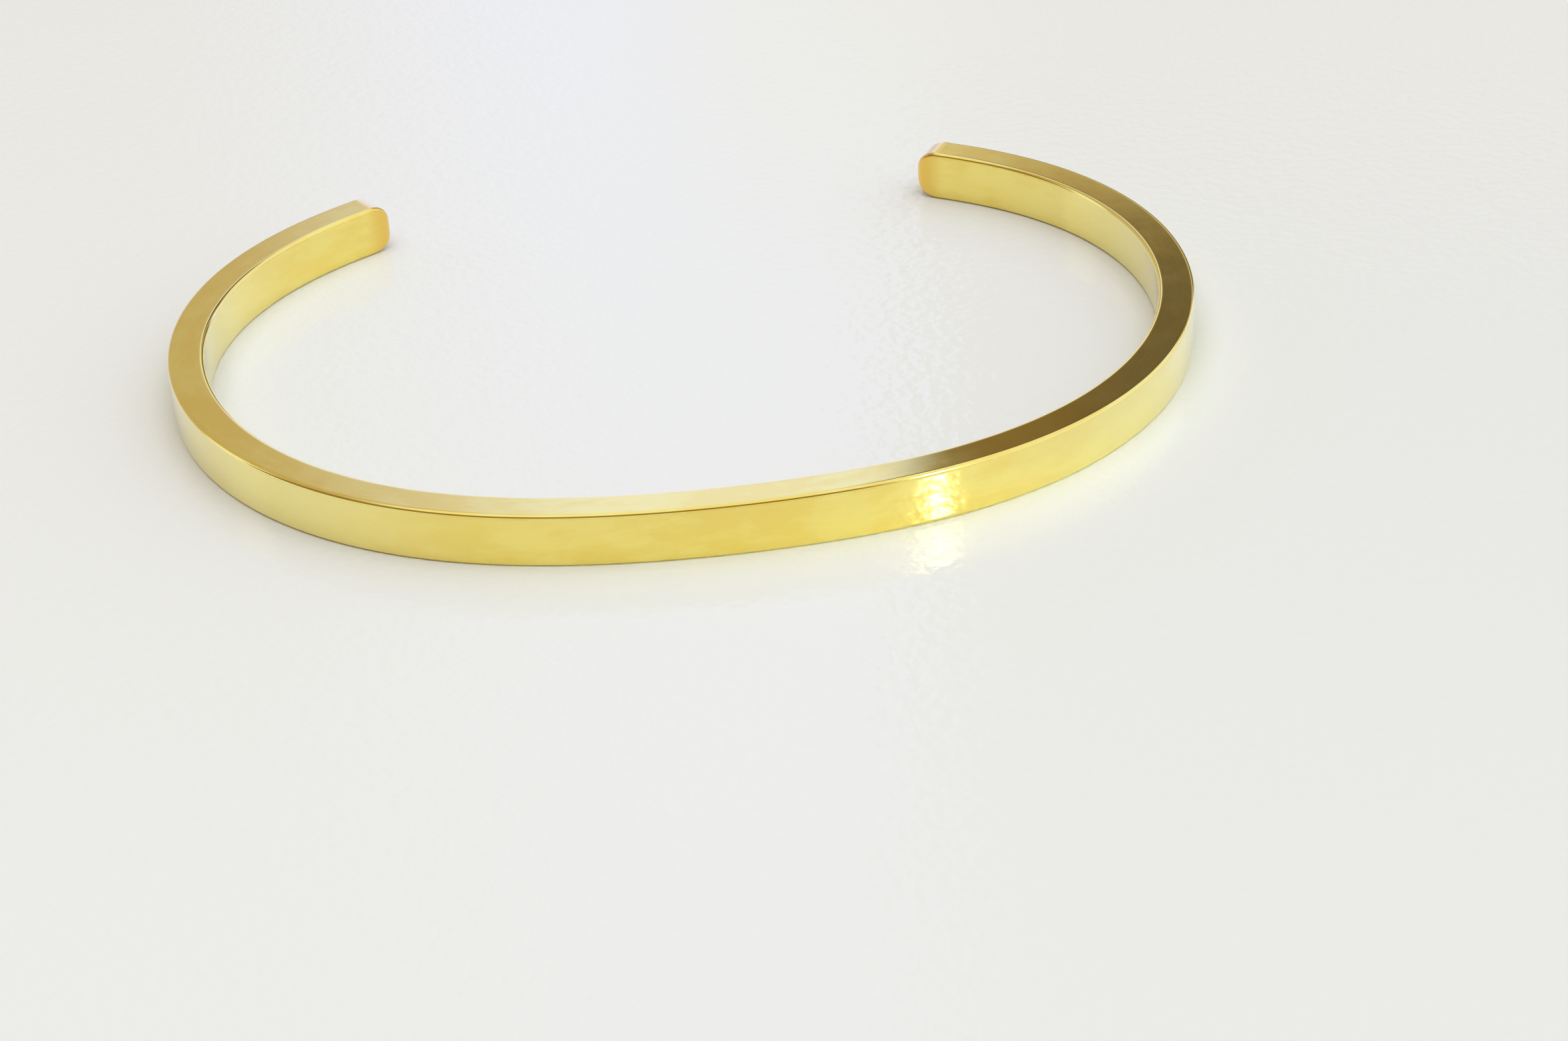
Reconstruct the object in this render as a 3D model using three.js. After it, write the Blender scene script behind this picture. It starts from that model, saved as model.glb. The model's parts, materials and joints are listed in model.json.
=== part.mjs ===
// Open cuff bangle: one rectangular bar bent to an oval, with a gap at the back for the wrist.
// Millimetres, +Z up. It lies on its lower rim at z = 0, the closed front towards -Y, the gap towards +Y.

import * as THREE from 'three';

// Driving dimensions, mm
const outsideWidth = 60;
const barHeight = 3.1;
const barThickness = 2.1;
const halfLength = 67.6;       // along the outer face, from the middle of the front to one tip
const edgeRadius = 0.22;       // the four long edges
const tipCornerRadius = 1.5;   // upper and lower corner of each tip, seen from the side
const tipSideRadius = 0.7;     // its two upright edges, seen from above
const tipFlat = 0.2;           // height of the small flat left at the very end of each tip

// Radius of the outer face at even steps from the middle of the front: nearly flat, then the sides,
// then the arms, which straighten towards the tips
const frontRadius = 61.5;
const shoulderRadius = 24.2;
const sideRadius = 23.2;
const armRadius = 21.5;
const beyondTipRadius = Infinity;
const bendStep = 19.5;

// Facets
const sectionStep = 1.2;       // mm between sections along the bar
const edgeFacets = 3;          // per long edge
const tipSections = 8;         // per rounded tip
const integrationStep = 0.05;  // mm, for working out the oval
const largestEdgeShare = 0.8;  // of half the thinner side, which an edge round may take near a tip

const polishedGold = new THREE.MeshStandardMaterial({ color: 0xe0bd5c, roughness: 0.22, metalness: 1 });

// Curvature of the outer face at a signed distance along it from the middle of the front
function makeBendRule() {
  const radii = [frontRadius, shoulderRadius, sideRadius, armRadius, beyondTipRadius];
  const last = radii.length - 1;
  const knots = [];
  for (let i = -last; i <= last; i += 1) {
    knots.push(new THREE.Vector2(i * bendStep, 1 / radii[Math.abs(i)]));
  }
  const spline = new THREE.SplineCurve(knots);
  const reach = last * bendStep;
  return (along) => spline.getPoint((along + reach) / (2 * reach)).y;
}

// One half of the outer face in plan, from the middle of the front to the tip:
// bending by the rule above, a short step at a time
function traceHalf() {
  const bend = makeBendRule();
  const points = [{ along: 0, x: 0, y: 0, heading: 0 }];
  const steps = Math.round(halfLength / integrationStep);
  const step = halfLength / steps;
  for (let i = 0; i < steps; i += 1) {
    const from = points[i];
    const middleHeading = from.heading + bend(from.along + step / 4) * step / 2;
    points.push({
      along: from.along + step,
      x: from.x + Math.cos(middleHeading) * step,
      y: from.y + Math.sin(middleHeading) * step,
      heading: from.heading + bend(from.along + step / 2) * step,
    });
  }
  return points;
}

// The plan line, both halves, scaled to the outside width
function makeOuterLine() {
  const half = traceHalf();
  const widest = Math.max(...half.map((point) => point.x));
  const scale = outsideWidth / 2 / widest;
  const length = half[half.length - 1].along;
  return {
    length: length * scale,
    at(along) {
      const place = Math.min(Math.abs(along) / scale / length, 1) * (half.length - 1);
      const low = Math.min(Math.floor(place), half.length - 2);
      const part = place - low;
      const side = along < 0 ? -1 : 1;
      const blend = (key) => THREE.MathUtils.lerp(half[low][key], half[low + 1][key], part);
      return {
        position: new THREE.Vector2(side * blend('x') * scale, blend('y') * scale),
        heading: side * blend('heading'),
      };
    },
  };
}

// How far a round of the given radius has drawn a face in, at a distance from the tip
function drawnIn(fromTip, radius) {
  if (fromTip >= radius) {
    return 0;
  }
  return radius - Math.sqrt(radius ** 2 - (radius - fromTip) ** 2);
}

// Distances from a tip at which its sections stand, closer together towards the tip.
// They follow the corner round, the longer of the two.
function tipDistances() {
  const squareEnd = barHeight / 2 - tipCornerRadius;
  const firstAngle = Math.asin((tipFlat / 2 - squareEnd) / tipCornerRadius);
  const distances = [];
  for (let i = 0; i < tipSections; i += 1) {
    const angle = THREE.MathUtils.lerp(firstAngle, Math.PI / 2, i / (tipSections - 1));
    distances.push(tipCornerRadius * (1 - Math.cos(angle)));
  }
  return distances;
}

// Places along the bar, from the left tip to the right one
function sectionPlaces(length) {
  const tip = tipDistances();
  const shoulder = tip[tip.length - 1];
  const count = Math.ceil(2 * (length - shoulder) / sectionStep);
  const places = tip.map((distance) => distance - length);
  for (let i = 1; i < count; i += 1) {
    places.push((length - shoulder) * (2 * i / count - 1));
  }
  return [...places, ...tip.map((distance) => length - distance).reverse()];
}

// A rounded rectangle, thickness by height, centred on the bar, counter-clockwise
function sectionOutline(fromTip) {
  const halfThickness = barThickness / 2 - drawnIn(fromTip, tipSideRadius);
  const halfHeight = barHeight / 2 - drawnIn(fromTip, tipCornerRadius);
  const radius = Math.min(edgeRadius, Math.min(halfThickness, halfHeight) * largestEdgeShare);
  const outline = [];
  for (const [across, up, start] of [[1, 1, 0], [-1, 1, 1], [-1, -1, 2], [1, -1, 3]]) {
    for (let i = 0; i <= edgeFacets; i += 1) {
      const angle = (start + i / edgeFacets) * Math.PI / 2;
      outline.push(new THREE.Vector2(
        across * (halfThickness - radius) + radius * Math.cos(angle),
        up * (halfHeight - radius) + radius * Math.sin(angle),
      ));
    }
  }
  return outline;
}

// The sections joined into one closed skin, each tip closed by a fan of triangles,
// with the depth of the whole centred on y = 0
function makeCuffGeometry() {
  const line = makeOuterLine();
  const places = sectionPlaces(line.length);
  const corners = [];
  for (const place of places) {
    const { position, heading } = line.at(place);
    const outward = new THREE.Vector2(Math.sin(heading), -Math.cos(heading));
    for (const point of sectionOutline(line.length - Math.abs(place))) {
      const reach = point.x - barThickness / 2;
      corners.push(position.x + outward.x * reach, position.y + outward.y * reach, point.y + barHeight / 2);
    }
  }
  const around = corners.length / 3 / places.length;
  const faces = [];
  for (let ring = 0; ring < places.length - 1; ring += 1) {
    for (let i = 0; i < around; i += 1) {
      const near = ring * around + i;
      const nearNext = ring * around + (i + 1) % around;
      faces.push(near, near + around, nearNext, nearNext, near + around, nearNext + around);
    }
  }
  const lastRing = (places.length - 1) * around;
  for (let i = 1; i < around - 1; i += 1) {
    faces.push(0, i, i + 1);
    faces.push(lastRing, lastRing + i + 1, lastRing + i);
  }
  const geometry = new THREE.BufferGeometry();
  geometry.setAttribute('position', new THREE.Float32BufferAttribute(corners, 3));
  geometry.setIndex(faces);
  geometry.computeVertexNormals();
  geometry.computeBoundingBox();
  const centre = geometry.boundingBox.getCenter(new THREE.Vector3());
  geometry.translate(0, -centre.y, 0);
  return geometry;
}

function makeCuff() {
  const cuff = new THREE.Mesh(makeCuffGeometry(), polishedGold);
  cuff.name = 'cuff';
  return cuff;
}

const bangle = new THREE.Group();
bangle.name = 'open_cuff_bangle';
bangle.add(makeCuff());

export default bangle;
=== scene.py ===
import json
import math

import bpy
from mathutils import Matrix, Vector

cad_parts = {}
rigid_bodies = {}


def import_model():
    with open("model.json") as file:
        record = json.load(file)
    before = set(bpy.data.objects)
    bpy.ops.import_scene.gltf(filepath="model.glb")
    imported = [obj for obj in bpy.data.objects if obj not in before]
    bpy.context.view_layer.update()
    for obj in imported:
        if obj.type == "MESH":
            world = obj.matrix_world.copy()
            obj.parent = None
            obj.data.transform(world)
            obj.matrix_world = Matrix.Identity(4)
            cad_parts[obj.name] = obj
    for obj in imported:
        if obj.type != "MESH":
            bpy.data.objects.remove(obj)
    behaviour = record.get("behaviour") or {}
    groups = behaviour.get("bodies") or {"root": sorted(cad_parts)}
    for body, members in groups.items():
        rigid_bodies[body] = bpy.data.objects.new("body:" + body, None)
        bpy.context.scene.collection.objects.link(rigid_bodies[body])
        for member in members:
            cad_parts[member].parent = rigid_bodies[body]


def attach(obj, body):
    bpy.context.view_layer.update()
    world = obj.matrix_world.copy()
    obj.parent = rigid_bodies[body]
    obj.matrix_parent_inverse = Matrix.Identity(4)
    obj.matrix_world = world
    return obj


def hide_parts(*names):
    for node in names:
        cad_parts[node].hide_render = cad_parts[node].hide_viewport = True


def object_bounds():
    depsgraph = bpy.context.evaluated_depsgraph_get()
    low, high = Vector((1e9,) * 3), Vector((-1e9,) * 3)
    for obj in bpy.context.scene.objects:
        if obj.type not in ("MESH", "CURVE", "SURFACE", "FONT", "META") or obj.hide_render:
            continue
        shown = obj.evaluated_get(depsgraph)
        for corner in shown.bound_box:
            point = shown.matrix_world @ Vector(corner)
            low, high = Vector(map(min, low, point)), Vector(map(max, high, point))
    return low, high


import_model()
cadLow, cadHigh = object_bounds()
mm = 0.001


def fill(tree, socket, value):
    # a socket is joined, anything else is set as the socket's own value
    if isinstance(value, bpy.types.NodeSocket):
        tree.links.new(value, socket)
    else:
        socket.default_value = value


def addNode(tree, kind, inputs=None, **settings):
    node = tree.nodes.new(kind)
    for name, value in settings.items():
        setattr(node, name, value)
    for key, value in (inputs or {}).items():
        if value is not None:
            fill(tree, node.inputs[key], value)
    return node


def calc(tree, operation, a, b=None, c=None):
    return addNode(tree, "ShaderNodeMath", {0: a, 1: b, 2: c}, operation=operation).outputs[0]


def calcVector(tree, operation, a, b=None, scale=None):
    inputs = {0: a, 1: b, "Scale": scale}
    return addNode(tree, "ShaderNodeVectorMath", inputs, operation=operation).outputs["Vector"]


def splitVector(tree, vector):
    return addNode(tree, "ShaderNodeSeparateXYZ", {0: vector}).outputs


def joinVector(tree, x=None, y=None, z=None):
    return addNode(tree, "ShaderNodeCombineXYZ", {"X": x, "Y": y, "Z": z}).outputs[0]


def ramp(tree, value, low, high, start=0.0, end=1.0):
    # eases from start to end while value goes from low to high
    inputs = {"Value": value, "From Min": low, "From Max": high, "To Min": start, "To Max": end}
    return addNode(tree, "ShaderNodeMapRange", inputs, interpolation_type="SMOOTHSTEP").outputs["Result"]


def within(tree, *edges):
    # 1 where each value is past its own soft edge, given as the value and the edge's start and end
    share = ramp(tree, *edges[0])
    for edge in edges[1:]:
        share = calc(tree, "MULTIPLY", share, ramp(tree, *edge))
    return share


def blendColor(tree, share, a, b):
    # a Mix node numbers its color sockets 6 and 7, and its color output 2
    return addNode(tree, "ShaderNodeMix", {0: share, 6: a, 7: b}, data_type="RGBA").outputs[2]


def noise(tree, place, scale, detail, roughness):
    inputs = {"Vector": place, "Scale": scale, "Detail": detail, "Roughness": roughness}
    return addNode(tree, "ShaderNodeTexNoise", inputs).outputs["Fac"]


def bump(tree, height, distance, under=None):
    inputs = {"Height": height, "Distance": distance, "Strength": 1, "Normal": under}
    return addNode(tree, "ShaderNodeBump", inputs).outputs[0]


def newMaterial(name):
    material = bpy.data.materials.new(name)
    material.use_nodes = True
    tree = material.node_tree
    return material, tree, tree.nodes["Principled BSDF"]


# taken as polished gold plate under a thin clear lacquer
goldLook = {
    "color": (0.94, 0.79, 0.215, 1),
    "deepColor": (0.90, 0.70, 0.145, 1),      # the warmer clouds in the tint
    "deepShare": 0.9,
    "paintedReflectionColor": (0.92, 0.82, 0.33, 1),       # painted reflection: the upright faces round the bends made paler, for the brighter reflection they show
    "paintedReflectionShare": 0.85,
    "paintedReflectionFrom": (11, 26),                     # mm from the middle of the front
    "paintedReflectionTo": (64, 48),
    "paintedReflectionSlope": (0.9, 0.3),                  # how level a face may be, 1 for a level one
    "endColor": (0.86, 0.58, 0.10, 1),        # a warmer tint on the rounded tips
    "endLength": 2.2,                         # mm
    "cloudScale": 160,                        # large soft clouds in the tint
    "patchStretch": (0.4, 1.1, 1),            # smaller ones, drawn out along the bar
    "cloudEdges": (0.42, 0.60),
    "roughness": 0.07,
    "roughnessSpread": 0.05,
    "wipeScale": 420,                         # wiped and clearer places
    "hazeEdges": (0.1, 0.5),
    "lacquer": 0.8,
    "lacquerRoughness": 0.04,
    "waveSize": 1.6,                          # mm, faint waves in the polish
    "waveHeight": 0.0012,                     # mm
    "waveTurn": (0.4, 0.3, 0.2),              # radians, so that the waves follow no axis
    "hairWidth": 0.16,                        # mm
    "hairHeight": 0.00008,                    # mm
    "hairStretch": 0.3,
    "hairSpread": 9,                          # how far apart neighbouring hairs start
}


def makeGold():
    look = goldLook
    material, tree, shader = newMaterial("polished gold plate")
    coordinates = addNode(tree, "ShaderNodeTexCoord").outputs
    place = coordinates["Object"]
    facing = splitVector(tree, coordinates["Normal"])["Z"]
    barMap = addNode(tree, "ShaderNodeUVMap", uv_map="barMap").outputs["UV"]
    along, around, _ = splitVector(tree, barMap)

    cloud = noise(tree, place, look["cloudScale"], 2, 0.5)
    stretched = {"Vector": barMap, "Scale": look["patchStretch"]}
    patches = noise(tree, addNode(tree, "ShaderNodeMapping", stretched).outputs[0], 1, 4, 0.6)
    shade = calc(tree, "MULTIPLY", calc(tree, "ADD", cloud, patches), 0.5)
    deep = calc(tree, "MULTIPLY", ramp(tree, shade, *look["cloudEdges"]), look["deepShare"])
    fromMiddle = calc(tree, "ABSOLUTE", calc(tree, "SUBTRACT", along, cuff["halfLength"]))
    levelness = calc(tree, "ABSOLUTE", facing)
    # painted reflection: upright faces round the bends get a paler tint, standing in for the whiter
    # reflection there
    paintedReflectionMask = within(tree, (fromMiddle, *look["paintedReflectionFrom"]), (fromMiddle, *look["paintedReflectionTo"]),
                  (levelness, *look["paintedReflectionSlope"]))
    paintedReflection = calc(tree, "MULTIPLY", paintedReflectionMask, look["paintedReflectionShare"])
    fromTip = calc(tree, "SUBTRACT", cuff["halfLength"], fromMiddle)
    atEnd = ramp(tree, fromTip, look["endLength"], look["endLength"] / 3)
    tint = blendColor(tree, deep, look["color"], look["deepColor"])
    # the painted reflection, laid over the tint
    tint = blendColor(tree, paintedReflection, tint, look["paintedReflectionColor"])
    tint = blendColor(tree, atEnd, tint, look["endColor"])
    fill(tree, shader.inputs["Base Color"], tint)
    shader.inputs["Metallic"].default_value = 1
    shader.inputs["Coat Weight"].default_value = look["lacquer"]
    shader.inputs["Coat Roughness"].default_value = look["lacquerRoughness"]

    # hairlines run along the bar, each one starting and ending at its own place
    row = calc(tree, "DIVIDE", around, look["hairWidth"])
    start = addNode(tree, "ShaderNodeTexNoise", {"W": row, "Scale": 1, "Detail": 0},
                    noise_dimensions="1D").outputs["Fac"]
    hairAlong = calc(tree, "ADD", calc(tree, "MULTIPLY", along, look["hairStretch"]),
                     calc(tree, "MULTIPLY", start, look["hairSpread"]))
    hair = noise(tree, joinVector(tree, hairAlong, row), 1, 3, 0.65)
    haze = calc(tree, "MULTIPLY", hair, noise(tree, place, look["wipeScale"], 3, 0.6))
    hazy = look["roughness"] + look["roughnessSpread"]
    rough = ramp(tree, haze, *look["hazeEdges"], look["roughness"], hazy)
    fill(tree, shader.inputs["Roughness"], rough)

    turned = addNode(tree, "ShaderNodeMapping", {"Vector": place, "Rotation": look["waveTurn"]}).outputs[0]
    wave = noise(tree, turned, 1 / (look["waveSize"] * mm), 1, 0.4)
    waveBump = bump(tree, wave, look["waveHeight"] * mm)
    fill(tree, shader.inputs["Normal"], bump(tree, hair, look["hairHeight"] * mm, waveBump))
    fill(tree, shader.inputs["Coat Normal"], waveBump)
    return material


# one rectangular bar, bent to an open oval
cuff = {
    "frontRadius": 61.5,        # mm, outer face, flattest at the front
    "shoulderRadius": 24.2,
    "sideRadius": 23.2,
    "armRadius": 21.5,
    "bendStep": 19.5,           # mm along the outer face between those radii
    "halfLength": 67.6,
    "thickness": 2.1,
    "edgeRadius": 0.22,
    "tipCornerRadius": 1.5,     # upper and lower corners of each tip
    "tipSideRadius": 0.7,       # its two upright edges
    "stepsPerBend": 96,
    "sections": 643,
    "tipSections": 20,
    "edgeFacets": 8,
    "holdShare": 0.35,          # of the edge radius, how far past each edge round a face is held flat
    "largestEdgeShare": 0.8,    # of half the slimmer side, which an edge round may take near a tip
    "mergeDistance": 0.00002,   # mm
}


def planLine(tree, size):
    # the outer face's plan: curvature knots, joined smoothly, then summed into a heading and a place
    radii = ("Front Radius", "Shoulder Radius", "Side Radius", "Arm Radius")
    bends = 2 * len(radii)
    knots = addNode(tree, "GeometryNodeMeshLine", {"Count": bends + 1})
    index = addNode(tree, "GeometryNodeInputIndex").outputs[0]
    fromFront = calc(tree, "ABSOLUTE", calc(tree, "SUBTRACT", index, bends / 2))
    pick = addNode(tree, "GeometryNodeIndexSwitch", data_type="FLOAT")
    for _ in range(len(radii) - 1):                    # the node starts with two values of its own
        pick.index_switch_items.new()
    fill(tree, pick.inputs[0], fromFront)
    for number, name in enumerate(radii):
        fill(tree, pick.inputs[number + 1], calc(tree, "DIVIDE", 1, size[name]))
    pick.inputs[len(radii) + 1].default_value = 0      # straight beyond the tip
    knotPlace = joinVector(tree, calc(tree, "MULTIPLY", index, size["Bend Step"]), pick.outputs[0])
    knots = addNode(tree, "GeometryNodeSetPosition",
                    {"Geometry": knots.outputs[0], "Position": knotPlace})
    rule = addNode(tree, "GeometryNodeMeshToCurve", {"Mesh": knots.outputs[0]})
    rule = addNode(tree, "GeometryNodeCurveSplineType", {"Curve": rule.outputs[0]},
                   spline_type="CATMULL_ROM")
    rule = addNode(tree, "GeometryNodeSetSplineResolution",
                   {0: rule.outputs[0], "Resolution": cuff["stepsPerBend"]})
    fine = addNode(tree, "GeometryNodeCurveToMesh", {"Curve": rule.outputs[0]})

    step = calc(tree, "DIVIDE", size["Bend Step"], cuff["stepsPerBend"])
    place = addNode(tree, "GeometryNodeInputPosition").outputs[0]
    curvature = splitVector(tree, place)["Y"]
    turned = addNode(tree, "GeometryNodeAccumulateField", {0: curvature}, data_type="FLOAT")
    # half a step back, to the middle of each step, and level at the middle of the bar
    heading = calc(tree, "SUBTRACT", turned.outputs["Leading"], calc(tree, "MULTIPLY", curvature, 0.5))
    heading = calc(tree, "SUBTRACT", heading, calc(tree, "MULTIPLY", turned.outputs["Total"], 0.5))
    heading = calc(tree, "MULTIPLY", heading, step)
    way = joinVector(tree, calc(tree, "COSINE", heading), calc(tree, "SINE", heading))
    gone = addNode(tree, "GeometryNodeAccumulateField", {0: way}, data_type="FLOAT_VECTOR")
    spot = calcVector(tree, "SUBTRACT", gone.outputs["Leading"], calcVector(tree, "SCALE", way, scale=0.5))
    spot = calcVector(tree, "SCALE", spot, scale=step)
    line = addNode(tree, "GeometryNodeSetPosition", {"Geometry": fine.outputs[0], "Position": spot})
    line = addNode(tree, "GeometryNodeMeshToCurve", {"Mesh": line.outputs[0]})
    # the bar's own stretch of it; sockets 4 and 5 are the start and the end as lengths
    reach = calc(tree, "MULTIPLY", size["Bend Step"], bends / 2)
    cut = {"Curve": line.outputs[0],
           4: calc(tree, "SUBTRACT", reach, size["Half Length"]),
           5: calc(tree, "ADD", reach, size["Half Length"])}
    return addNode(tree, "GeometryNodeTrimCurve", cut, mode="LENGTH").outputs[0]


def drawnIn(tree, fromTip, radius):
    # how far a round of that radius has drawn a face in, at a distance from the tip
    short = calc(tree, "MAXIMUM", calc(tree, "SUBTRACT", radius, fromTip), 0)
    square = calc(tree, "SUBTRACT", calc(tree, "MULTIPLY", radius, radius),
                  calc(tree, "MULTIPLY", short, short))
    return calc(tree, "SUBTRACT", radius, calc(tree, "SQRT", square))


def makeBarTree(material):
    tree = bpy.data.node_groups.new("bentBar", "GeometryNodeTree")
    tree.interface.new_socket(name="Geometry", in_out="OUTPUT", socket_type="NodeSocketGeometry")
    values = {}

    def addInput(name, kind, value):
        socket = tree.interface.new_socket(name=name, in_out="INPUT", socket_type=kind)
        values[socket.identifier] = value

    addInput("Outside Size", "NodeSocketVector", tuple(cadHigh - cadLow))
    for name in ("frontRadius", "shoulderRadius", "sideRadius", "armRadius", "bendStep", "halfLength",
                 "thickness", "edgeRadius", "tipCornerRadius", "tipSideRadius"):
        label = "".join(" " + letter if letter.isupper() else letter for letter in name).title()
        addInput(label, "NodeSocketFloat", cuff[name] * mm)
    addInput("Material", "NodeSocketMaterial", material)
    size = addNode(tree, "NodeGroupInput").outputs
    line = planLine(tree, size)

    sections = cuff["sections"]
    perCorner = cuff["edgeFacets"] + 3                  # an arc with one holding point at either end
    around = 4 * perCorner
    counts = {"Size X": 1, "Size Y": 1, "Vertices X": sections, "Vertices Y": around + 1}
    grid = addNode(tree, "GeometryNodeMeshGrid", counts)
    index = addNode(tree, "GeometryNodeInputIndex").outputs[0]
    section = calc(tree, "FLOOR", calc(tree, "DIVIDE", calc(tree, "ADD", index, 0.5), around + 1))
    point = calc(tree, "SUBTRACT", index, calc(tree, "MULTIPLY", section, around + 1))
    turn = calc(tree, "FLOORED_MODULO", point, around)

    # distance from the nearer tip: crowded where it is rounded, then even
    halfThick = calc(tree, "MULTIPLY", size["Thickness"], 0.5)
    nose = calc(tree, "MAXIMUM", size["Tip Corner Radius"], size["Tip Side Radius"])
    half = calc(tree, "MULTIPLY", addNode(tree, "GeometryNodeCurveLength", {0: line}).outputs[0], 0.5)
    fromEnd = calc(tree, "MINIMUM", section, calc(tree, "SUBTRACT", sections - 1, section))
    closing = calc(tree, "COMPARE", fromEnd, 0, 0.1)       # the first and last section shrink to a point
    fromEnd = calc(tree, "MAXIMUM", calc(tree, "SUBTRACT", fromEnd, 1), 0)
    tipShare = calc(tree, "MINIMUM", calc(tree, "DIVIDE", fromEnd, cuff["tipSections"]), 1)
    angle = calc(tree, "MULTIPLY", tipShare, math.pi / 2)
    noseShare = calc(tree, "SUBTRACT", 1, calc(tree, "COSINE", angle))
    evenCount = (sections - 1) / 2 - 1 - cuff["tipSections"]
    pastNose = calc(tree, "MAXIMUM", calc(tree, "SUBTRACT", fromEnd, cuff["tipSections"]), 0)
    evenShare = calc(tree, "DIVIDE", pastNose, evenCount)
    fromTip = calc(tree, "ADD", calc(tree, "MULTIPLY", nose, noseShare),
                   calc(tree, "MULTIPLY", calc(tree, "SUBTRACT", half, nose), evenShare))
    side = calc(tree, "SIGN", calc(tree, "SUBTRACT", section, (sections - 1) / 2))
    along = calc(tree, "ADD", half, calc(tree, "MULTIPLY", side, calc(tree, "SUBTRACT", half, fromTip)))

    # rounded rectangle, drawn in towards the tip in both directions
    halfHeight = calc(tree, "MULTIPLY", splitVector(tree, size["Outside Size"])["Z"], 0.5)
    acrossHalf = calc(tree, "SUBTRACT", halfThick, drawnIn(tree, fromTip, size["Tip Side Radius"]))
    upHalf = calc(tree, "SUBTRACT", halfHeight, drawnIn(tree, fromTip, size["Tip Corner Radius"]))
    acrossHalf = calc(tree, "MULTIPLY", acrossHalf, calc(tree, "SUBTRACT", 1, closing))
    upHalf = calc(tree, "MULTIPLY", upHalf, calc(tree, "SUBTRACT", 1, closing))
    slimmer = calc(tree, "MINIMUM", acrossHalf, upHalf)
    radius = calc(tree, "MINIMUM", size["Edge Radius"],
                  calc(tree, "MULTIPLY", slimmer, cuff["largestEdgeShare"]))
    corner = calc(tree, "FLOOR", calc(tree, "DIVIDE", calc(tree, "ADD", turn, 0.5), perCorner))
    inCorner = calc(tree, "SUBTRACT", turn, calc(tree, "MULTIPLY", corner, perCorner))
    arcShare = calc(tree, "DIVIDE", calc(tree, "SUBTRACT", inCorner, 1), cuff["edgeFacets"])
    arcShare = calc(tree, "MINIMUM", calc(tree, "MAXIMUM", arcShare, 0), 1)
    face = calc(tree, "MULTIPLY", calc(tree, "ADD", corner, arcShare), math.pi / 2)
    middle = calc(tree, "MULTIPLY", calc(tree, "ADD", corner, 0.5), math.pi / 2)
    # -1 at the holding point before the arc, +1 at the one after it
    holding = calc(tree, "SUBTRACT", calc(tree, "COMPARE", inCorner, perCorner - 1, 0.1),
                   calc(tree, "COMPARE", inCorner, 0, 0.1))
    hold = calc(tree, "MULTIPLY", calc(tree, "MULTIPLY", radius, cuff["holdShare"]), holding)
    across = calc(tree, "MULTIPLY", calc(tree, "SIGN", calc(tree, "COSINE", middle)),
                  calc(tree, "SUBTRACT", acrossHalf, radius))
    across = calc(tree, "ADD", across, calc(tree, "MULTIPLY", radius, calc(tree, "COSINE", face)))
    across = calc(tree, "SUBTRACT", across, calc(tree, "MULTIPLY", hold, calc(tree, "SINE", face)))
    up = calc(tree, "MULTIPLY", calc(tree, "SIGN", calc(tree, "SINE", middle)),
              calc(tree, "SUBTRACT", upHalf, radius))
    up = calc(tree, "ADD", up, calc(tree, "MULTIPLY", radius, calc(tree, "SINE", face)))
    up = calc(tree, "ADD", up, calc(tree, "MULTIPLY", hold, calc(tree, "COSINE", face)))

    sample = addNode(tree, "GeometryNodeSampleCurve", {"Curves": line, "Length": along},
                     mode="LENGTH", use_all_curves=True)
    outward = calcVector(tree, "CROSS_PRODUCT", sample.outputs["Tangent"], (0, 0, 1))
    inset = calc(tree, "SUBTRACT", across, halfThick)
    inward = calcVector(tree, "SCALE", outward, scale=inset)
    spot = calcVector(tree, "ADD", sample.outputs["Position"], inward)
    spot = calcVector(tree, "ADD", spot, joinVector(tree, z=up))

    # map along and around the bar, in millimetres, kept with each face corner
    arc = cuff["edgeRadius"] * math.pi / 2
    flatAcross = cuff["thickness"] - 2 * cuff["edgeRadius"]
    flatUp = (cadHigh.z - cadLow.z) / mm - 2 * cuff["edgeRadius"]
    passed = calc(tree, "FLOOR", calc(tree, "DIVIDE", calc(tree, "ADD", point, 0.5), perCorner))
    mapAround = calc(tree, "MULTIPLY", calc(tree, "ADD", passed, arcShare), arc)
    mapAround = calc(tree, "ADD", mapAround, calc(tree, "DIVIDE", hold, mm))
    topsPassed = calc(tree, "CEIL", calc(tree, "DIVIDE", passed, 2))
    sidesPassed = calc(tree, "FLOOR", calc(tree, "DIVIDE", passed, 2))
    mapAround = calc(tree, "ADD", mapAround, calc(tree, "MULTIPLY", topsPassed, flatAcross))
    mapAround = calc(tree, "ADD", mapAround, calc(tree, "MULTIPLY", sidesPassed, flatUp))
    barMap = joinVector(tree, calc(tree, "DIVIDE", along, mm), mapAround)
    barMap = addNode(tree, "GeometryNodeFieldOnDomain", {0: barMap},
                     data_type="FLOAT_VECTOR", domain="POINT").outputs[0]
    bar = addNode(tree, "GeometryNodeStoreNamedAttribute",
                  {"Geometry": grid.outputs["Mesh"], "Name": "barMap", "Value": barMap},
                  data_type="FLOAT2", domain="CORNER").outputs[0]
    bar = addNode(tree, "GeometryNodeSetPosition", {"Geometry": bar, "Position": spot}).outputs[0]
    seam = {"Geometry": bar, "Distance": cuff["mergeDistance"] * mm}
    bar = addNode(tree, "GeometryNodeMergeByDistance", seam).outputs[0]

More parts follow.
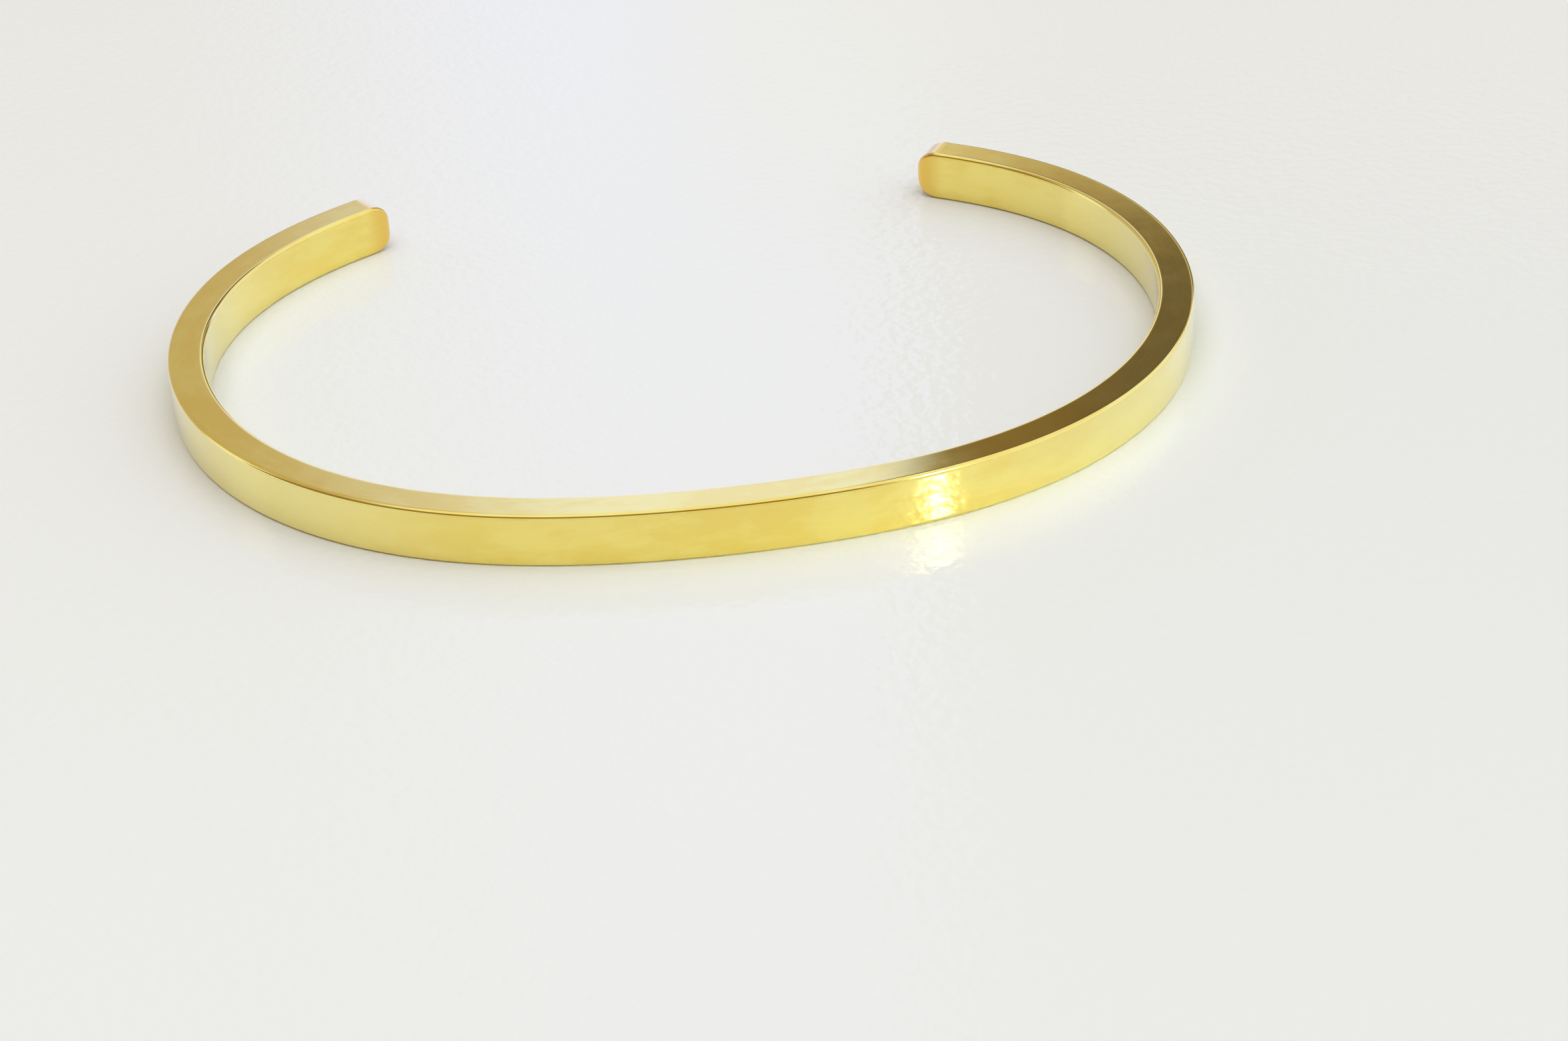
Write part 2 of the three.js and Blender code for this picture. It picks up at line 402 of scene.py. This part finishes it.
    # the frame's box sets the width, depth and height, with the lower rim at its foot
    box = addNode(tree, "GeometryNodeBoundBox", {0: bar})
    ownSize = calcVector(tree, "SUBTRACT", box.outputs["Max"], box.outputs["Min"])
    place = addNode(tree, "GeometryNodeInputPosition").outputs[0]
    share = calcVector(tree, "DIVIDE", calcVector(tree, "SUBTRACT", place, box.outputs["Min"]), ownSize)
    share = calcVector(tree, "MULTIPLY", share, size["Outside Size"])
    fitted = calcVector(tree, "ADD", share, tuple(cadLow))
    bar = addNode(tree, "GeometryNodeSetPosition", {"Geometry": bar, "Position": fitted}).outputs[0]
    bar = addNode(tree, "GeometryNodeSetShadeSmooth", {"Geometry": bar, "Shade Smooth": True}).outputs[0]
    bar = addNode(tree, "GeometryNodeRealizeInstances", {"Geometry": bar}).outputs[0]
    coated = {"Geometry": bar, "Material": size["Material"]}
    bar = addNode(tree, "GeometryNodeSetMaterial", coated).outputs[0]
    addNode(tree, "NodeGroupOutput", {0: bar})
    return tree, values


def makeCuff(material):
    tree, values = makeBarTree(material)
    host = bpy.data.objects.new("barHost", bpy.data.meshes.new("barHost"))
    bpy.context.collection.objects.link(host)
    modifier = host.modifiers.new("bentBar", "NODES")
    modifier.node_group = tree
    for identifier, value in values.items():
        modifier[identifier] = value
    seen = host.evaluated_get(bpy.context.evaluated_depsgraph_get())
    mesh = bpy.data.meshes.new_from_object(seen)
    bpy.data.objects.remove(host)
    mesh.name = "goldCuff"
    piece = bpy.data.objects.new("gold_cuff", mesh)
    bpy.context.collection.objects.link(piece)
    print("cuff:", len(mesh.polygons), "faces")
    return piece


# a painted board to lie on
floorLook = {
    "color": (0.81, 0.835, 0.825, 1),
    "roughness": 0.035,
    "gloss": 0.16,
    "grainSize": 0.68,         # mm, the faint texture of the painted board
    "grainHeight": 0.033,      # mm
    "halfSize": 3.0,           # m
    "drop": 0.01,              # mm under the cuff, so that the two never share a plane
}


def makeFloor():
    look = floorLook
    material, tree, shader = newMaterial("satin white board")
    place = addNode(tree, "ShaderNodeTexCoord").outputs["Object"]
    grain = noise(tree, place, 1 / (look["grainSize"] * mm), 1.5, 0.45)
    shader.inputs["Base Color"].default_value = look["color"]
    shader.inputs["Roughness"].default_value = look["roughness"]
    shader.inputs["Specular IOR Level"].default_value = look["gloss"]
    fill(tree, shader.inputs["Normal"], bump(tree, grain, look["grainHeight"] * mm))
    half = look["halfSize"]
    level = cadLow.z - look["drop"] * mm
    mesh = bpy.data.meshes.new("board")
    corners = [(-half, -half, level), (half, -half, level), (half, half, level), (-half, half, level)]
    mesh.from_pydata(corners, [], [(0, 1, 2, 3)])
    mesh.materials.append(material)
    floor = bpy.data.objects.new("board", mesh)
    bpy.context.collection.objects.link(floor)


# The room that the gold mirrors. Directions are a bearing from +Y towards +X and a height above the
# horizon, in degrees, and each soft edge is given by where it starts and where it is full.
room = {
    "overall": (1.0, 1.0, 1.0, 1),
    "strength": 1.0,
    "backdrop": (0.83, 0.83, 0.82, 1),      # what the camera itself sees past the floor
    # the wall behind: pale in the middle, grey towards the left
    "backWall": (0.94, 1.03, 1.68, 1),
    "leftGrey": (0.575, 0.49, 0.37, 1),
    "wallBlend": (-6, 3.2),
    "wallSides": ((-64, -57), (64, 44)),
    "wallTop": (55, 42),
    # a dark doorway to the right
    "doorEdge": (0.225, 0.16, 0.08, 1),
    "darkDoor": (0.15, 0.12, 0.095, 1),
    "doorBlend": (10.5, 13.5),
    "doorSides": ((7.9, 9.3), (44, 36)),
    "doorTop": (48, 42),
    # a warm ledge along the wall's foot
    "paleLedge": (0.86, 0.82, 0.70, 1),
    "ledge": (0.60, 0.50, 0.35, 1),
    "ledgeBlend": (8, 12),
    "ledgeStart": (2, 7),
    "ledgeHeights": ((25.9, 24.5), (14, 18)),
    # the grey goes on, higher up, round the left
    "upperGreySides": ((-110, -85), (-10, -25)),
    "upperGreyHeights": ((66, 54), (36, 42)),
    # the shaded side of the room that the front edge mirrors
    "frontShade": (0.32, 0.22, 0.10, 1),
    "shadeSides": ((143, 160), (286, 280)),
    "shadeHeights": ((4, 12), (56, 46)),
}


def toward(bearing, height):
    turn, lift = math.radians(bearing), math.radians(height)
    return Vector((math.sin(turn) * math.cos(lift), math.cos(turn) * math.cos(lift), math.sin(lift)))


def makeRoom():
    world = bpy.data.worlds.new("studio room")
    bpy.context.scene.world = world
    world.use_nodes = True
    tree = world.node_tree
    way = splitVector(tree, addNode(tree, "ShaderNodeTexCoord").outputs["Generated"])
    bearing = calc(tree, "DEGREES", calc(tree, "ARCTAN2", way["X"], way["Y"]))
    height = calc(tree, "DEGREES", calc(tree, "ARCSINE", way["Z"]))
    turned = calc(tree, "WRAP", bearing, 360, 0)      # the same bearing, counted from 0 to 360

    def area(sideways, sides, heights):
        return within(tree, *[(sideways, *edge) for edge in sides], *[(height, *edge) for edge in heights])

    wall = blendColor(tree, ramp(tree, bearing, *room["wallBlend"]), room["leftGrey"], room["backWall"])
    door = blendColor(tree, ramp(tree, bearing, *room["doorBlend"]), room["doorEdge"], room["darkDoor"])
    ledge = blendColor(tree, ramp(tree, bearing, *room["ledgeBlend"]), room["paleLedge"], room["ledge"])
    wall = blendColor(tree, area(bearing, room["doorSides"], [room["doorTop"]]), wall, door)
    wall = blendColor(tree, area(bearing, [room["ledgeStart"]], room["ledgeHeights"]), wall, ledge)
    color = blendColor(tree, area(bearing, room["wallSides"], [room["wallTop"]]), room["overall"], wall)
    upperGrey = area(bearing, room["upperGreySides"], room["upperGreyHeights"])
    color = blendColor(tree, upperGrey, color, room["leftGrey"])
    shade = area(turned, room["shadeSides"], room["shadeHeights"])
    color = blendColor(tree, shade, color, room["frontShade"])
    straight = addNode(tree, "ShaderNodeLightPath").outputs["Is Camera Ray"]
    color = blendColor(tree, straight, color, room["backdrop"])
    background = tree.nodes["Background"]
    fill(tree, background.inputs["Color"], color)
    background.inputs["Strength"].default_value = room["strength"]


# A small bright window low on the right. The cuff and the board each get a lamp of their own for it,
# the board's smaller and brighter, so that it glints off the board without yellow streaks from the gold.
window = {
    "bearing": 144,
    "height": 29.5,
    "distance": 0.28,           # m
    "size": (0.021, 0.007),     # m
    "power": 0.003,             # W
    "color": (0.64, 0.79, 1.0),
    "spread": 14,               # degrees, a narrow beam
    "aim": (12.5, -21, 0),      # mm
    "mirrored": True,
    "onto": "gold_cuff",
}
glint = dict(window, power=0.2, size=(0.013, 0.005), onto="board")

# a large soft light overhead that is never mirrored
softLight = {
    "bearing": 190,
    "height": 78,
    "distance": 1.5,
    "size": (1.6, 1.6),
    "power": 8.9,
    "color": (1, 1, 1),
    "spread": 180,
    "aim": (0, 0, 0),
    "mirrored": False,
    "onto": None,
}


def makeLight(name, look):
    light = bpy.data.lights.new(name, "AREA")
    light.shape = "RECTANGLE"
    light.size, light.size_y = look["size"]
    light.energy = look["power"]
    light.color = look["color"]
    light.spread = math.radians(look["spread"])
    lamp = bpy.data.objects.new(name, light)
    lamp.location = toward(look["bearing"], look["height"]) * look["distance"]
    lamp.rotation_mode = "QUATERNION"
    lamp.rotation_quaternion = (lamp.location - Vector(look["aim"]) * mm).to_track_quat("Z", "Y")
    lamp.visible_camera = False
    lamp.visible_glossy = look["mirrored"]
    lamp.visible_diffuse = not look["mirrored"]
    if look["onto"]:
        receivers = bpy.data.collections.new(name + " lights")
        receivers.objects.link(bpy.data.objects[look["onto"]])
        lamp.light_linking.receiver_collection = receivers
    bpy.context.collection.objects.link(lamp)


# the view of it, from the front and above
shot = {
    "aim": (4.46, -5.25, -7.98),    # mm
    "distance": 187.05,             # mm
    "bearing": 5.843,               # degrees, as for the room
    "height": 30.837,
    "roll": -3.15,
    "lens": 73.45,                  # mm
    "sensor": 36,                   # mm
    "nearest": 0.01,                # m
}


def makeCamera():
    forward = -toward(shot["bearing"] + 180, shot["height"])
    level = forward.cross(Vector((0, 0, 1))).normalized()
    upright = level.cross(forward)
    roll = math.radians(shot["roll"])
    right = level * math.cos(roll) + upright * math.sin(roll)
    up = upright * math.cos(roll) - level * math.sin(roll)
    data = bpy.data.cameras.new("camera")
    data.lens = shot["lens"]
    data.sensor_width = shot["sensor"]
    data.clip_start = shot["nearest"]
    camera = bpy.data.objects.new("camera", data)
    turn = Matrix((right, up, -forward)).transposed().to_4x4()
    centre = Vector(shot["aim"]) * mm - forward * shot["distance"] * mm
    camera.matrix_world = Matrix.Translation(centre) @ turn
    bpy.context.collection.objects.link(camera)
    bpy.context.scene.camera = camera


gold = makeGold()
print("material: polished gold plate")
piece = makeCuff(gold)
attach(piece, "root")
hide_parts("cuff")
makeFloor()
makeRoom()
makeLight("window on the cuff", window)
makeLight("window on the board", glint)
makeLight("soft light", softLight)
makeCamera()
bpy.context.scene.view_settings.view_transform = "Standard"
print("floor, room, window and camera are set")
